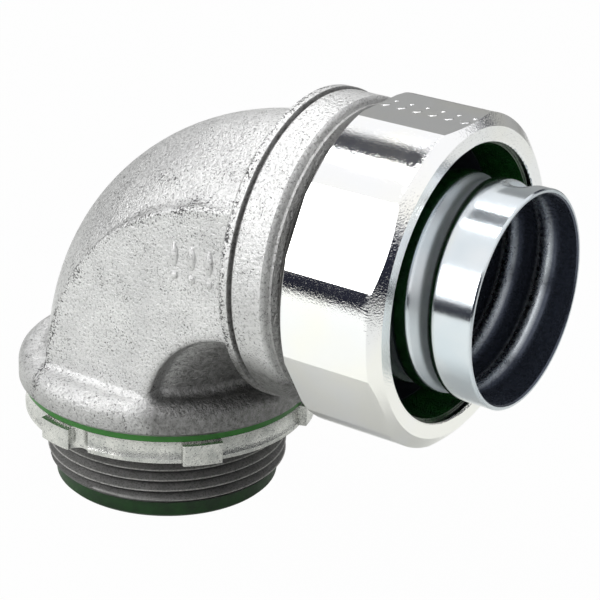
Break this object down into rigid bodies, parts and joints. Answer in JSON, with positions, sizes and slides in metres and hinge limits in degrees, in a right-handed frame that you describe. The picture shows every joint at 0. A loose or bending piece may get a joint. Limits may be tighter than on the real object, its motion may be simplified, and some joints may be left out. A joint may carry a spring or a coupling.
{
  "type": "conduit connector",
  "caption": "Right-angle connector for liquid-tight flexible metal conduit: cast elbow, insulated threaded hub with locknut and gasket, gland nut, seal ring and screw-in ferrule.",
  "frame": {"origin": "on the hub's axis at the underside of the hub flange, where the part seats on a box", "axes": "+Z from the hub thread up into the elbow, +X along the gland towards the conduit, +Y to the left when looking along +X"},
  "size_m": [0.1082, 0.0614, 0.0872],
  "materials": {
    "cast_body": "malleable iron casting, zinc plated, fine cast grain",
    "green_liner": "moulded nylon, dark green",
    "green_gasket": "moulded sealing gasket, green",
    "cast_locknut": "malleable iron, zinc plated",
    "plated_nut": "turned and bright zinc plated",
    "green_ring": "moulded nylon, dark green",
    "plated_sheet": "rolled sheet steel, bright zinc plated"
  },
  "bodies": {
    "body": {"elbow_body": "cast_body", "throat_liner": "green_liner", "ferrule": "plated_sheet"},
    "ring": {"seal_ring": "green_ring"},
    "nut": {"gland_nut": "plated_nut"},
    "gasket": {"face_gasket": "green_gasket"},
    "lock": {"locknut": "cast_locknut"}
  },
  "joints": [
    {"name": "ring_slide", "type": "slide", "parent": "body", "child": "ring", "axis": [1, 0, 0], "range_m": [0, 0.00721]},
    {"name": "gland_nut_turn", "type": "hinge", "parent": "ring", "child": "nut", "pos_m": [0, 0, 0.0363], "axis": [1, 0, 0], "range_deg": [0, 1440]},
    {"name": "gasket_slide", "type": "slide", "parent": "body", "child": "gasket", "axis": [0, 0, -1], "range_m": [0, 0.00884]},
    {"name": "locknut_turn", "type": "hinge", "parent": "gasket", "child": "lock", "pos_m": [0, 0, 0], "axis": [0, 0, -1], "range_deg": [0, 1440]}
  ],
  "couplings": [
    {"joint": "ring_slide", "follows": "gland_nut_turn", "m_per_rad": 0.00028648},
    {"joint": "gasket_slide", "follows": "locknut_turn", "m_per_rad": 0.00035153}
  ]
}
